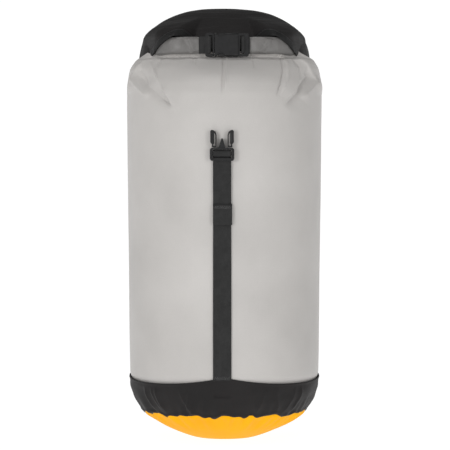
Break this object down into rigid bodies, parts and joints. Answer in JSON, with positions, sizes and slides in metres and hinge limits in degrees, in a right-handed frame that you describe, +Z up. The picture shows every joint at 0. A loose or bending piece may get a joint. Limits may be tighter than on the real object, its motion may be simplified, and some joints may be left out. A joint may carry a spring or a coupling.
{
  "type": "stuff sack",
  "caption": "Roll-top compression dry sack: tube body, buckled rolled collar, soft lid, compression straps with side-release buckles, and a domed base.",
  "frame": {"origin": "centre of the flat patch under the domed base", "axes": "+Z up along the sack, +X to the right seen from the front strap, the front strap on the -Y side"},
  "size_m": [0.2236, 0.239, 0.496],
  "materials": {
    "sack_fabric": "satin coated ripstop",
    "band_fabric": "satin woven",
    "base_fabric": "matte laminate",
    "lid_fabric": "satin woven",
    "binding": "grosgrain tape",
    "webbing": "woven webbing",
    "stiffener": "moulded strip",
    "buckle_plastic": "fine moulded texture"
  },
  "bodies": {
    "sack": {"body_panel": "sack_fabric", "base_band": "band_fabric", "base_panel": "base_fabric", "rolled_collar": "sack_fabric", "collar_stiffener": "stiffener", "roll_buckle_male": "buckle_plastic", "roll_buckle_female": "buckle_plastic", "roll_loop_left": "webbing", "roll_loop_right": "webbing", "rear_strap_webbing": "webbing", "rear_strap_turn": "webbing", "rear_strap_tail": "webbing", "rear_strap_end": "webbing", "rear_buckle_male": "buckle_plastic", "rear_buckle_female": "buckle_plastic", "lid_tab_rear": "webbing"},
    "front_strap": {"front_strap_webbing": "webbing"},
    "front_buckle": {"front_buckle_male": "buckle_plastic", "front_strap_turn": "webbing"},
    "front_tail": {"front_strap_tail": "webbing", "front_strap_end": "webbing"},
    "front_buckle_arm_left": {"front_buckle_arm_left": "buckle_plastic"},
    "front_buckle_arm_right": {"front_buckle_arm_right": "buckle_plastic"},
    "left_strap": {"left_strap_webbing": "webbing"},
    "left_buckle": {"left_buckle_male": "buckle_plastic", "left_strap_turn": "webbing"},
    "left_tail": {"left_strap_tail": "webbing", "left_strap_end": "webbing"},
    "left_buckle_arm_left": {"left_buckle_arm_left": "buckle_plastic"},
    "left_buckle_arm_right": {"left_buckle_arm_right": "buckle_plastic"},
    "right_strap": {"right_strap_webbing": "webbing"},
    "right_buckle": {"right_buckle_male": "buckle_plastic", "right_strap_turn": "webbing"},
    "right_tail": {"right_strap_tail": "webbing", "right_strap_end": "webbing"},
    "right_buckle_arm_left": {"right_buckle_arm_left": "buckle_plastic"},
    "right_buckle_arm_right": {"right_buckle_arm_right": "buckle_plastic"},
    "rear_buckle_arm_left": {"rear_buckle_arm_left": "buckle_plastic"},
    "rear_buckle_arm_right": {"rear_buckle_arm_right": "buckle_plastic"},
    "roll_buckle_arm_upper": {"roll_buckle_arm_upper": "buckle_plastic"},
    "roll_buckle_arm_lower": {"roll_buckle_arm_lower": "buckle_plastic"},
    "lid": {"lid_shell": "lid_fabric", "lid_binding": "binding"},
    "lid_clip_left": {"lid_buckle_left": "buckle_plastic", "lid_tab_left": "webbing"},
    "lid_clip_right": {"lid_buckle_right": "buckle_plastic", "lid_tab_right": "webbing"},
    "lid_clip_front": {"lid_buckle_front": "buckle_plastic", "lid_tab_front": "webbing"}
  },
  "joints": [
    {"name": "front_strap_swing", "type": "hinge", "parent": "sack", "child": "front_strap", "pos_m": [-0.00228, -0.10893, 0.07299], "axis": [0.9998, -0.0209, 0], "range_deg": [0, 95]},
    {"name": "front_buckle_slide", "type": "slide", "parent": "front_strap", "child": "front_buckle", "axis": [0.0003, 0.0122, -0.9999], "range_m": [-0.04, 0.06], "deforming": ["front_strap_webbing"]},
    {"name": "front_tail_slide", "type": "slide", "parent": "front_buckle", "child": "front_tail", "axis": [0.0003, 0.0122, -0.9999], "range_m": [-0.04, 0.06], "deforming": ["front_strap_tail"]},
    {"name": "front_buckle_arm_left_squeeze", "type": "hinge", "parent": "front_buckle", "child": "front_buckle_arm_left", "pos_m": [-0.01112, -0.11538, 0.32934], "axis": [0.0209, 0.9997, 0.0122], "range_deg": [0, 5], "stiffness_Nm_per_rad": 0.5},
    {"name": "front_buckle_arm_right_squeeze", "type": "hinge", "parent": "front_buckle", "child": "front_buckle_arm_right", "pos_m": [0.00628, -0.11574, 0.32934], "axis": [-0.0209, -0.9997, -0.0122], "range_deg": [0, 5], "stiffness_Nm_per_rad": 0.5},
    {"name": "left_strap_swing", "type": "hinge", "parent": "sack", "child": "left_strap", "pos_m": [-0.0962, 0.05115, 0.07299], "axis": [-0.4695, -0.8829, 0], "range_deg": [0, 95]},
    {"name": "left_buckle_slide", "type": "slide", "parent": "left_strap", "child": "left_buckle", "axis": [0.0108, -0.0057, -0.9999], "range_m": [-0.04, 0.06], "deforming": ["left_strap_webbing"]},
    {"name": "left_tail_slide", "type": "slide", "parent": "left_buckle", "child": "left_tail", "axis": [0.0108, -0.0057, -0.9999], "range_m": [-0.04, 0.06], "deforming": ["left_strap_tail"]},
    {"name": "left_buckle_arm_left_squeeze", "type": "hinge", "parent": "left_buckle", "child": "left_buckle_arm_left", "pos_m": [-0.09797, 0.06195, 0.32934], "axis": [0.8829, -0.4694, 0.0122], "range_deg": [0, 5], "stiffness_Nm_per_rad": 0.5},
    {"name": "left_buckle_arm_right_squeeze", "type": "hinge", "parent": "left_buckle", "child": "left_buckle_arm_right", "pos_m": [-0.10614, 0.04658, 0.32934], "axis": [-0.8829, 0.4694, -0.0122], "range_deg": [0, 5], "stiffness_Nm_per_rad": 0.5},
    {"name": "right_strap_swing", "type": "hinge", "parent": "sack", "child": "right_strap", "pos_m": [0.0962, 0.05115, 0.07299], "axis": [-0.4695, 0.8829, 0], "range_deg": [0, 95]},
    {"name": "right_buckle_slide", "type": "slide", "parent": "right_strap", "child": "right_buckle", "axis": [-0.0108, -0.0057, -0.9999], "range_m": [-0.04, 0.06], "deforming": ["right_strap_webbing"]},
    {"name": "right_tail_slide", "type": "slide", "parent": "right_buckle", "child": "right_tail", "axis": [-0.0108, -0.0057, -0.9999], "range_m": [-0.04, 0.06], "deforming": ["right_strap_tail"]},
    {"name": "right_buckle_arm_left_squeeze", "type": "hinge", "parent": "right_buckle", "child": "right_buckle_arm_left", "pos_m": [0.10614, 0.04658, 0.32934], "axis": [-0.8829, -0.4694, 0.0122], "range_deg": [0, 5], "stiffness_Nm_per_rad": 0.5},
    {"name": "right_buckle_arm_right_squeeze", "type": "hinge", "parent": "right_buckle", "child": "right_buckle_arm_right", "pos_m": [0.09797, 0.06195, 0.32934], "axis": [0.8829, 0.4694, -0.0122], "range_deg": [0, 5], "stiffness_Nm_per_rad": 0.5},
    {"name": "rear_buckle_arm_left_squeeze", "type": "hinge", "parent": "sack", "child": "rear_buckle_arm_left", "pos_m": [0.0087, 0.11588, 0.35334], "axis": [0, -0.9999, 0.0122], "range_deg": [0, 5], "stiffness_Nm_per_rad": 0.5},
    {"name": "rear_buckle_arm_right_squeeze", "type": "hinge", "parent": "sack", "child": "rear_buckle_arm_right", "pos_m": [-0.0087, 0.11588, 0.35334], "axis": [0, 0.9999, -0.0122], "range_deg": [0, 5], "stiffness_Nm_per_rad": 0.5},
    {"name": "roll_buckle_arm_upper_squeeze", "type": "hinge", "parent": "sack", "child": "roll_buckle_arm_upper", "pos_m": [-0.0101, -0.065, 0.4539], "axis": [0, 1, 0], "range_deg": [0, 5], "stiffness_Nm_per_rad": 0.5},
    {"name": "roll_buckle_arm_lower_squeeze", "type": "hinge", "parent": "sack", "child": "roll_buckle_arm_lower", "pos_m": [-0.0101, -0.065, 0.4365], "axis": [0, -1, 0], "range_deg": [0, 5], "stiffness_Nm_per_rad": 0.5},
    {"name": "lid_open", "type": "hinge", "parent": "sack", "child": "lid", "pos_m": [0, 0.1225, 0.4024], "axis": [-1, 0, 0], "range_deg": [0, 120]},
    {"name": "lid_clip_left_swing", "type": "hinge", "parent": "lid", "child": "lid_clip_left", "pos_m": [-0.08529, 0.08408, 0.41534], "axis": [-0.6456, -0.7637, 0], "range_deg": [0, 110]},
    {"name": "lid_clip_right_swing", "type": "hinge", "parent": "lid", "child": "lid_clip_right", "pos_m": [0.08529, 0.08408, 0.41534], "axis": [-0.6456, 0.7637, 0], "range_deg": [0, 110]},
    {"name": "lid_clip_front_swing", "type": "hinge", "parent": "lid", "child": "lid_clip_front", "pos_m": [0, -0.0435, 0.4399], "axis": [1, 0, 0], "range_deg": [0, 18]}
  ],
  "couplings": [
    {"joint": "front_tail_slide", "follows": "front_buckle_slide", "ratio": 1},
    {"joint": "front_buckle_arm_right_squeeze", "follows": "front_buckle_arm_left_squeeze", "ratio": 1},
    {"joint": "left_tail_slide", "follows": "left_buckle_slide", "ratio": 1},
    {"joint": "left_buckle_arm_right_squeeze", "follows": "left_buckle_arm_left_squeeze", "ratio": 1},
    {"joint": "right_tail_slide", "follows": "right_buckle_slide", "ratio": 1},
    {"joint": "right_buckle_arm_right_squeeze", "follows": "right_buckle_arm_left_squeeze", "ratio": 1},
    {"joint": "rear_buckle_arm_right_squeeze", "follows": "rear_buckle_arm_left_squeeze", "ratio": 1},
    {"joint": "roll_buckle_arm_lower_squeeze", "follows": "roll_buckle_arm_upper_squeeze", "ratio": 1}
  ]
}
